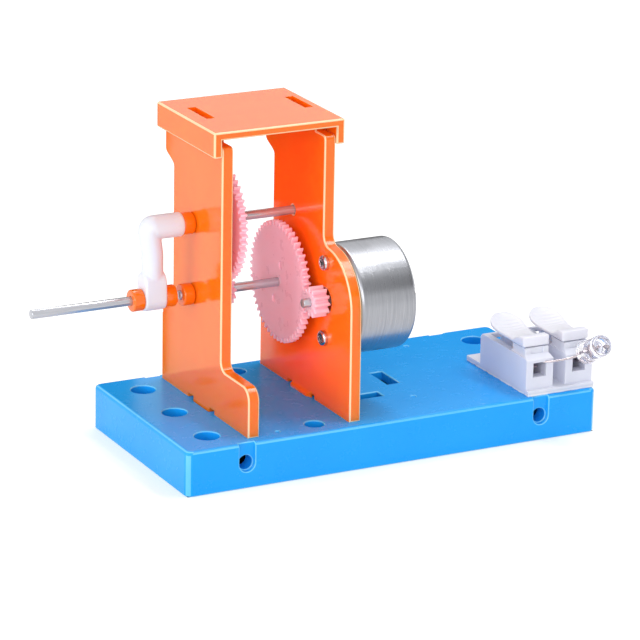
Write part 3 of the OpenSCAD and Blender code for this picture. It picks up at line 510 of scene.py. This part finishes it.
bronze = brushed("oiled bush bronze", (208, 168, 104), (176, 136, 80), 0.34, (2, 2, 2),
                 height=0.01)
for node in ("motor_front_bearing", "motor_rear_bearing"):
    dress(rounded(node + "_turned", node, 0.1, steps=1), bronze, "frame")

# Inside the can: two ferrite shells glued to its wall, and on the shaft a core of
# stacked sheets, three coils of enamelled copper wire and the commutator.
ferrite = plastic("dark ferrite", (74, 74, 79), (60, 60, 66), 0.7, swing=0.08, grain=3,
                  height=0.02)
core_sheets = brushed("stacked core sheets", (128, 131, 137), (96, 99, 105), 0.4,
                      (6, 0.3, 0.3), height=0.03)
coil_copper = brushed("enamelled coil copper", (190, 104, 52), (150, 72, 32), 0.3,
                      (5, 0.4, 0.4), height=0.06)
for node, material in (("motor_magnets", ferrite), ("armature_core", core_sheets),
                       ("armature_windings", coil_copper), ("commutator", coil_copper)):
    NODES[node].data.materials.clear()
    NODES[node].data.materials.append(material)

# Push terminal. One pale nylon moulding of two housings on a floor. Each housing has
# a well for a clamp, a hole for a wire at both ends and two cheeks for its lever.
# This is the levers' white nylon made a little greyer and bluer, which paints the shade that lies
# over the whole body.
shaded_terminal_nylon = plastic("terminal nylon with painted shade", (226, 228, 241), (219, 222, 237), 0.4,
                         swing=0.05, Subsurface_Weight=0.35,
                         Subsurface_Radius=(1.0, 0.9, 1.0), Subsurface_Scale=0.0015)
dress(rounded("terminal_body_moulding", "terminal_body", 0.22, clamp=True), shaded_terminal_nylon,
      "frame")

# Tape. A strip of white foam with glue on both faces, which holds the terminal on
# the base. Its soft cut edge waves.


def wavy_oblong(low, high):
    """An oblong of 60 points a side, drawn in by about a tenth of a millimetre.

    How far it is drawn in swings by two sines, one along Y and one across both axes.
    """
    sides = np.array([low[:2], [high[0], low[1]], high[:2], [low[0], high[1]]])
    t = np.linspace(0, 1, 60, endpoint=False)[:, None]
    points = np.concatenate([sides[i] + (sides[(i + 1) % 4] - sides[i]) * t for i in range(4)])
    x, y = points.T
    wave = 0.10 + 0.06 * np.sin(y * 1.1) + 0.05 * np.sin(x * 1.7 + y * 2.3)
    off_centre = points - (low[:2] + high[:2]) / 2
    on_side = np.abs(off_centre) > (high[:2] - low[:2]) / 2 - 0.01
    return points - np.sign(off_centre) * wave[:, None] * on_side


low, high = (np.array(v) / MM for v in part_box("terminal_tape"))
tape = slab("terminal_tape_strip", wavy_oblong(low, high), low[2], high[2], 0.12)
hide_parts("terminal_tape")
tape_white = plastic("white foam tape", (244, 243, 246), (236, 235, 240), 0.75, swing=0.05,
                     grain=6, height=0.05)
dress(tape, tape_white, "frame")

# Clamps. Bent strips of springy steel on the floor of each well, which bear up on
# a wire until the lever is pressed.
clamp_steel = brushed("spring clamp steel", (214, 196, 198), (190, 170, 174), 0.28,
                      (2, 0.4, 0.4))
for node in ("terminal_clamp_left", "terminal_clamp_right"):
    dress(rounded(node + "_bent", node, 0.08, steps=1), clamp_steel, "frame")

# Levers. Two white nylon thumb levers: a lip over the cheeks, a low saddle and a
# ribbed thumb spoon. A tongue below turns on two pins in the housing's cheeks.
HOUSING_Y, HOUSING_Z, LEFT_X, RIGHT_X = -22.25, 18.4, 36.4, 46.4
LEVER_FRONT, LIP_Y, SWELL_Y, BOWL_Y, SPOON_Y, SPOON_L = 1.9, 3.2, 8.5, 8.8, 14.6, 18.2
LIP_W, SPOON_W, LIP_Z, SADDLE_Z, TIP_Z = 3.3, 3.95, 4.4, 2.85, 5.4
UNDER_Z, TIP_UNDER_Z, FALL_L, TIP_ROUND, TIP_THIN = 2.1, 4.5, 4.3, 0.4, 0.45
DISH, DISH_Y, DISH_FADE = 0.34, 9, 4
RIB, RIB_PITCH, RIBS_FROM, RIBS_TO, RIBS_FADE = 0.045, 1.15, 10, 17.6, 1.5
PIVOT_Y, PIVOT_Z = 8.2, -1.4
TONGUE_W, TONGUE_R, PINS_W, PINS_R = 1.6, 1.4, 2.5, 0.75
WEB = [[3.4, 0.3], [6.8, 0.3], [6.8, -1.4], [9.6, -1.4], [9.6, 0.3], [9.6, 2.3], [3.4, 2.3]]


def eased(t):
    """The half cosine from 0 to 1."""
    return (1 - np.cos(np.pi * np.clip(t, 0, 1))) / 2


def bowl(y, start, end, z0, z1):
    """Level up to start, then a circle that bends up to z1 at end."""
    run, climb = end - start, z1 - z0
    r = (run * run + climb * climb) / (2 * climb)
    return z0 + r - np.sqrt(r * r - np.clip(y - start, 0, run) ** 2)


def fall_off(past, reach):
    """A quarter ellipse: one while past is below zero, and zero where it meets reach."""
    return np.sqrt(np.clip(1 - (np.maximum(past, 0) / reach) ** 2, 0, 1))


def spoon_skin(name, x):
    """Rounded oblong sections from the lip to the spoon's end, dished and ribbed on top.

    The width is level on the lip, swells to the spoon and closes on an ellipse. The top
    falls from the lip to the saddle and both faces bend up on circles. The dish is a
    parabola across the spoon, and the ribs are a sine along it.
    """
    edge, corner_r, shut = 0.3, 0.38, 5
    a = np.linspace(0, np.pi / 2, 5)
    last = SPOON_Y + (SPOON_L - SPOON_Y) * np.sin(np.linspace(0, np.pi / 2, 34))
    y = np.concatenate([[LEVER_FRONT], LEVER_FRONT + edge * (1 - np.cos(a)),
                        np.linspace(LEVER_FRONT + edge, SPOON_Y, 90)[1:-1], last])
    inset = np.concatenate([[shut], edge * (1 - np.sin(a)), np.zeros(len(y) - 6)])
    wide = LIP_W + (SPOON_W - LIP_W) * eased((y - SWELL_Y) / (SPOON_Y - SWELL_Y))
    wide *= fall_off(y - SPOON_Y, SPOON_L - SPOON_Y)
    top = LIP_Z - (LIP_Z - SADDLE_Z) * eased((y - LIP_Y) / FALL_L)
    top += bowl(y, BOWL_Y, SPOON_L, 0, TIP_Z - SADDLE_Z)
    low = bowl(y, BOWL_Y, SPOON_L, UNDER_Z, TIP_UNDER_Z)
    thin = TIP_THIN + (1 - TIP_THIN) * fall_off(y - SPOON_L + TIP_ROUND, TIP_ROUND)
    w = np.maximum(wide - inset, 0)[:, None]
    h = np.maximum((top - low) / 2 * thin - inset, 0)[:, None]
    # One section: the place of each point's corner circle, and its way out from there.
    flat, turn = np.linspace(-1, 1, 29), np.linspace(0, np.pi / 2, 6)[1:-1]
    one, co, si = np.ones(4), np.cos(turn), np.sin(turn)
    cx = np.concatenate([flat, one, one, flat[::-1], -one, -one])
    cz = np.concatenate([flat * 0 + 1, one, -one, flat * 0 - 1, -one, one])
    ax = np.concatenate([flat * 0, si, co, flat * 0, -si, -co])
    az = np.concatenate([flat * 0 + 1, co, -si, flat * 0 - 1, -co, si])
    corner = np.minimum(np.minimum(corner_r, w), h)
    across = cx * (w - corner) + ax * corner
    share = across / np.maximum(w, 1e-6)
    dish = DISH * eased((y - DISH_Y) / DISH_FADE)[:, None] * (1 - share ** 2)
    ribbed = eased((y - RIBS_FROM) / RIBS_FADE) * eased((RIBS_TO - y) / RIBS_FADE)
    rib = RIB * np.sin(2 * np.pi * y / RIB_PITCH) * ribbed
    rise = cz * (h - corner) + az * corner - dish + rib[:, None] * (cz > 0) * (1 - share ** 4)
    mid = (top + low)[:, None] / 2
    grid = np.stack([x + across, np.broadcast_to(HOUSING_Y + y[:, None], across.shape),
                     HOUSING_Z + mid + rise], axis=-1)
    return skin_of(name, grid * MM)


def stub(name, centre, half, radius, edge_l, edge_r):
    """A round bar along X, centred, with slanting rims."""
    profile = [[-half, 0], [-half, radius - edge_r], [-half + edge_l, radius],
               [half - edge_l, radius], [half, radius - edge_r], [half, 0]]
    return turned(name, profile, centre)


lever_nylon = plastic("white lever nylon", (236, 236, 247), (230, 231, 244), 0.36,
                      swing=0.05, Subsurface_Weight=0.35,
                      Subsurface_Radius=(1.0, 0.9, 1.0), Subsurface_Scale=0.0015)
for side, x in (("left", LEFT_X), ("right", RIGHT_X)):
    web = np.array([HOUSING_Y, HOUSING_Z]) + np.array(WEB)
    pivot = (x, HOUSING_Y + PIVOT_Y, HOUSING_Z + PIVOT_Z)
    parts = [spoon_skin("spoon", x), blade("web", web, x, TONGUE_W),
             stub("tongue", pivot, TONGUE_W, TONGUE_R, 0.1, 0.1),
             stub("pins", pivot, PINS_W, PINS_R, 0.1, 0.15)]
    lever = joined("terminal_lever_" + side + "_moulding", parts)
    smooth(lever, 40)
    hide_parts("terminal_lever_" + side)
    dress(lever, lever_nylon, "lever_" + side)

# Diode. A clear epoxy body with a flange and a hollowed end, cast round two tinned
# leads. One carries the chip's cup and the other a post.
LED_BASE = np.array([RIGHT_X + 0.3, HOUSING_Y - 2.3, HOUSING_Z + 0.5])
TILT, TURN = math.radians(29), math.radians(-3)
LED_AXIS = np.array([math.sin(TURN) * math.cos(TILT), -math.cos(TURN) * math.cos(TILT),
                     math.sin(TILT)])
LED_SIDE = np.array([math.cos(TURN), math.sin(TURN), 0])
LED_UP = np.cross(LED_AXIS, LED_SIDE)
LED_R, LED_L, FLANGE_R, PITCH, LEAD_R = 2.4, 8.12, 2.65, 2.54, 0.25
foot = [[0, 0], [0, 2.5], [0.12, FLANGE_R - 0.05], [0.25, FLANGE_R], [0.8, FLANGE_R],
        [0.95, FLANGE_R - 0.04], [1.0, 2.46], [1.12, LED_R]]
neck = [[2.9, LED_R], [3.0, LED_R - 0.05], [3.3, LED_R - 0.05], [3.4, LED_R]]
rim = [[7.77, LED_R - 0.02], [7.97, LED_R - 0.1], [8.09, LED_R - 0.25], [LED_L, LED_R - 0.4],
       [LED_L - 0.02, LED_R - 0.62]]
hollow = [[8.03, 1.66], [7.86, 1.35], [7.62, 0.85], [7.42, 0.35], [7.36, 0]]
lens = turned("led_lens_cast", foot + neck + rim + hollow, LED_BASE, LED_AXIS, LED_SIDE, 96)
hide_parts("led_lens")
lens_epoxy, tree, main = shader("clear epoxy", (250, 250, 255), 0.03, IOR=1.53,
                                Transmission_Weight=1.0)
haze = pattern(tree, Scale=0.8, Detail=2.0)
tree.links.new(ramp(tree, haze, 0.01, 0.06), main.inputs["Roughness"])
relief(tree, main, haze, 0.002)
dress(lens, lens_epoxy, "frame")


def wire(name, points):
    """A lead along a line whose corners are cut at a quarter and three quarters, four times."""
    path = np.asarray(points, dtype=float)
    for _ in range(4):
        near, far = path[:-1] * 0.75 + path[1:] * 0.25, path[:-1] * 0.25 + path[1:] * 0.75
        cut = np.stack([near, far], axis=1)
        path = np.concatenate([path[:1], cut.reshape(-1, 3), path[-1:]])
    keep = np.concatenate([[True], np.linalg.norm(np.diff(path, axis=0), axis=1) > 1e-3])
    return tube(name, path[keep], LEAD_R, (0.12, 0.25, 0.96), 20)


def led_blade(name, outline):
    """A flat stamping in the diode's middle plane: pairs are along its side and its axis."""
    half, edge = 0.2, 0.04
    flat = slab(name, outline, -half, half, edge)
    return moved(flat, LED_BASE, LED_SIDE, LED_AXIS, -LED_UP)


POST = [[1.02, 0.8], [1.52, 0.8], [1.52, 3.9], [0.7, 3.9], [0.7, 3.4], [1.02, 2.6]]
ANVIL = [[-1.52, 0.8], [-1.02, 0.8], [-1.02, 2.4], [0.25, 3.5], [0.25, 4.3], [-1.0, 4.3],
         [-1.52, 3.6]]
CUP = [[4.2, 0], [4.2, 0.5], [4.7, 0.62], [4.7, 0.5], [4.35, 0.3], [4.35, 0]]
HOLE_Z, LEAD_END_Y = 15.65, -19.15
anode_route = [[RIGHT_X, HOUSING_Y - 0.6, HOLE_Z + 0.5], [RIGHT_X, LEAD_END_Y, HOLE_Z]]
cathode_route = [[RIGHT_X + 0.3 - PITCH / 2 - 1.15, HOUSING_Y - 1.15, HOLE_Z + 2.0],
                 [LEFT_X + 1.15, HOUSING_Y - 0.6, HOLE_Z + 1.65],
                 [LEFT_X, LEAD_END_Y, HOLE_Z + 1.3]]
lead_metal = brushed("tinned lead", (214, 206, 208), (190, 178, 182), 0.22, (2, 2, 2),
                     height=0.003)
for kind, sign, route in (("anode", 1, anode_route), ("cathode", -1, cathode_route)):
    root = LED_BASE + sign * PITCH / 2 * LED_SIDE
    parts = [wire("lead", [root + 0.9 * LED_AXIS, root, root - 0.6 * LED_AXIS, *route])]
    if kind == "anode":
        parts += [led_blade("post", POST)]
    else:
        parts += [led_blade("anvil", ANVIL),
                  turned("cup", CUP, LED_BASE - 0.4 * LED_SIDE, LED_AXIS, LED_SIDE, 32)]
    lead = joined("led_" + kind + "_lead_wire", parts)
    smooth(lead, 40)
    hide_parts("led_" + kind + "_lead")
    dress(lead, lead_metal, "frame")

# Setting. A pale floor that keeps the shadow and a white surround. Camera, mirror and
# glass rays see both as white, and other rays meet a dimmer surround.
DIM, FLOOR_R, FLOOR_GREY, FLOOR_GLOW = 0.6, 3, 0.82, 0.35


def seen_rays(tree):
    """One for camera, glossy and transmission rays, else zero."""
    paths = tree.nodes.new("ShaderNodeLightPath")
    total = paths.outputs["Is Camera Ray"]
    for kind in ("Is Glossy Ray", "Is Transmission Ray"):
        larger = tree.nodes.new("ShaderNodeMath")
        larger.operation = "MAXIMUM"
        tree.links.new(total, larger.inputs[0])
        tree.links.new(paths.outputs[kind], larger.inputs[1])
        total = larger.outputs[0]
    return total


def white_light(tree, kind, strength):
    """A shader of the given kind that gives off white light."""
    node = tree.nodes.new(kind)
    node.inputs["Color"].default_value = (1, 1, 1, 1)
    node.inputs["Strength"].default_value = strength
    return node.outputs[0]


def mixed(tree, share, first, second):
    """The first shader where the share is zero, the second where it is one."""
    node = tree.nodes.new("ShaderNodeMixShader")
    for source, socket in zip((share, first, second), node.inputs):
        tree.links.new(source, socket)
    return node.outputs[0]


world = bpy.data.worlds.new("surround")
bpy.context.scene.world = world
world.use_nodes = True
tree = world.node_tree
tree.nodes.remove(tree.nodes["Background"])
dim, white = (white_light(tree, "ShaderNodeBackground", strength) for strength in (DIM, 1.0))
tree.links.new(mixed(tree, seen_rays(tree), dim, white),
               tree.nodes["World Output"].inputs["Surface"])

turn = np.linspace(0, 2 * np.pi, 64, endpoint=False)
disc = np.column_stack([FLOOR_R * np.cos(turn), FLOOR_R * np.sin(turn), np.full(64, -0.00005)])
floor = object_of("floor", disc, [range(64)])
material = bpy.data.materials.new("pale floor")
material.use_nodes = True
tree = material.node_tree
tree.nodes.remove(tree.nodes["Principled BSDF"])
matt = tree.nodes.new("ShaderNodeBsdfDiffuse")
matt.inputs["Color"].default_value = (FLOOR_GREY, FLOOR_GREY, FLOOR_GREY, 1)
none, glow = (white_light(tree, "ShaderNodeEmission", strength) for strength in (0.0, FLOOR_GLOW))
both = tree.nodes.new("ShaderNodeAddShader")
tree.links.new(matt.outputs[0], both.inputs[0])
tree.links.new(mixed(tree, seen_rays(tree), none, glow), both.inputs[1])
facing = tree.nodes.new("ShaderNodeNewGeometry")
clear = tree.nodes.new("ShaderNodeBsdfTransparent")
tree.links.new(mixed(tree, facing.outputs["Backfacing"], both.outputs[0], clear.outputs[0]),
               tree.nodes["Material Output"].inputs["Surface"])
floor.data.materials.append(material)

# A darker grey patch of floor without the floor's glow, a little smaller than the base and hidden
# below it, paints shade in the base's inside, as seen through its holes and slots.
PATCH_X, PATCH_Y, PATCH_Z = 0.0497, 0.024, -0.00002
patch = object_of("floor under the base",
                  [[x * PATCH_X, y * PATCH_Y, PATCH_Z]
                   for x, y in ((-1, -1), (1, -1), (1, 1), (-1, 1))], [range(4)])
patch.data.materials.append(shader("painted shade floor", (120, 120, 120), 1.0,
                                   Specular_IOR_Level=0.0)[0])

# Lamps. A long soft box overhead and broad ones in front and at the left. Two weak ones
# stand in for light that bounces between the orange plates: one reddens the right
# plate's inner face, one lights the gears and the inner shafts, and both light no more.


def soft_box(name, place, aim, width, height, power, colour=(1, 1, 1), lit=()):
    """An oblong lamp of power watts at place, facing aim, in metres.

    One that lights only some pieces has no mirror image.
    """
    lamp = bpy.data.lights.new(name, "AREA")
    lamp.shape, lamp.size, lamp.size_y, lamp.energy = "RECTANGLE", width, height, power
    lamp.color = colour
    light = bpy.data.objects.new(name, lamp)
    light.location = place
    light.visible_camera = False
    light.visible_glossy = light.visible_transmission = not lit
    if lit:
        group = bpy.data.collections.new(name)
        for piece in lit:
            group.objects.link(bpy.data.objects[piece])
        light.light_linking.receiver_collection = group
    light.rotation_euler = (Vector(aim) - Vector(place)).to_track_quat("-Z", "Y").to_euler()
    bpy.context.scene.collection.objects.link(light)


soft_box("overhead box", (0.3, 0.06, 0.75), (0.0, -0.02, 0), 1.0, 0.1, 2.9)
soft_box("front box", (-0.5, -0.95, 0.35), (0, 0, 0.03), 0.8, 0.5, 3.8)
soft_box("left box", (-1.0, -0.1, 0.3), (0, 0, 0.03), 0.6, 0.5, 3.7)
soft_box("plate glow", (-0.0262, -0.002, 0.038), (0, -0.002, 0.038), 0.034, 0.05, 0.006,
         (1, 0.0, 0.06), ["right_plate_moulding"])
soft_box("gear glow", (-0.055, -0.06, 0.06), (-0.018, 0, 0.038), 0.04, 0.04, 0.016,
         (1, 0.88, 0.93), ["crank_gear_moulding", "idler_gear_moulding",
                           "motor_pinion_moulding", "crank_shaft_bar", "idler_shaft_bar"])

# Cards that only mirroring faces see. A grey one above the can gives it its grey band,
# two dark ones behind the plates keep the surround off the right plate's inner face and
# draw the rod's upper edge, and one behind the base keeps it off the blue's right half.
for name, grey, (x0, x1), (y0, y1), (z0, z1) in (
        ("can card", 0.08, (0.07, 0.22), (-0.187, -0.04), (0.1, 0.204)),
        ("rear card", 0.04, (-0.049, -0.028), (0.05, 0.05), (0, 0.078)),
        ("rod card", 0.04, (-0.028, 0.0), (0.05, 0.05), (0.038, 0.078)),
        ("base card", 0.02, (0.04, 0.26), (0.15, 0.15), (0, 0.08))):
    corners = [(x0, y0, z0), (x1, y0, z0), (x1, y1, z1), (x0, y1, z1)]
    card = object_of(name, corners, [range(4)])
    material = shader(name, (0, 0, 0), 0.5, Specular_IOR_Level=0.0,
                      Emission_Color=(grey, grey, grey, 1), Emission_Strength=1.0)[0]
    card.data.materials.append(material)
    card.visible_camera = card.visible_diffuse = False
    card.visible_shadow = card.visible_transmission = False

# Camera. The photograph's viewpoint, fitted to the base, the plates and the shafts.
# Lengths are in mm, and the focal length is in the picture's points.
AZIMUTH, ELEVATION, ROLL = (math.radians(a) for a in (27.5597, 18.2461, 1.0889))
AIM, ASIDE, ABOVE, AWAY = Vector((-0.1, -0.25, 35.0)), 6.0865, 9.1031, 797.966
FOCAL, PICTURE, SENSOR, CLIP_END = 3652.937, 640, 36, 10
look = Vector((math.sin(AZIMUTH) * math.cos(ELEVATION), math.cos(AZIMUTH) * math.cos(ELEVATION),
               -math.sin(ELEVATION)))
level = Vector((math.cos(AZIMUTH), -math.sin(AZIMUTH), 0))
upright = level.cross(look)
right = level * math.cos(ROLL) + upright * math.sin(ROLL)
top = upright * math.cos(ROLL) - level * math.sin(ROLL)
place = (AIM - ASIDE * right - ABOVE * top - AWAY * look) * MM
camera = bpy.data.objects.new("camera", bpy.data.cameras.new("camera"))
camera.data.sensor_width = SENSOR
camera.data.lens = FOCAL / PICTURE * SENSOR
camera.data.clip_end = CLIP_END
facing = Matrix((right, top, -look)).transposed().to_4x4()
camera.matrix_world = Matrix.Translation(place) @ facing
bpy.context.scene.collection.objects.link(camera)
bpy.context.scene.camera = camera
bpy.context.scene.view_settings.view_transform = "Standard"
